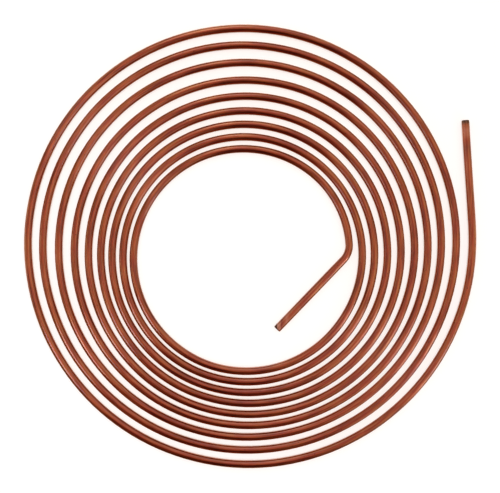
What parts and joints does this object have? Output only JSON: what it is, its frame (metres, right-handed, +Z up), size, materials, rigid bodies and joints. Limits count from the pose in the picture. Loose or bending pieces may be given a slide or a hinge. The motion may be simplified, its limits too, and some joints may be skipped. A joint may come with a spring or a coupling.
{
  "type": "copper tube coil",
  "caption": "Soft copper tube wound flat into an open spiral, with a straight outer end and an inner end bent across the eye.",
  "frame": {"origin": "on the floor under the middle of the coil's outline", "axes": "+Z up out of the floor, through the flat spiral; +X along the coil's longest side, toward the side where the outer end runs off; +Y the way the outer end points"},
  "size_m": [0.3672, 0.36, 0.0063],
  "materials": {
    "copper": "bright-annealed copper, satin, lightly tarnished"
  },
  "bodies": {
    "root": {"copper_tube": "copper"}
  },
  "joints": []
}
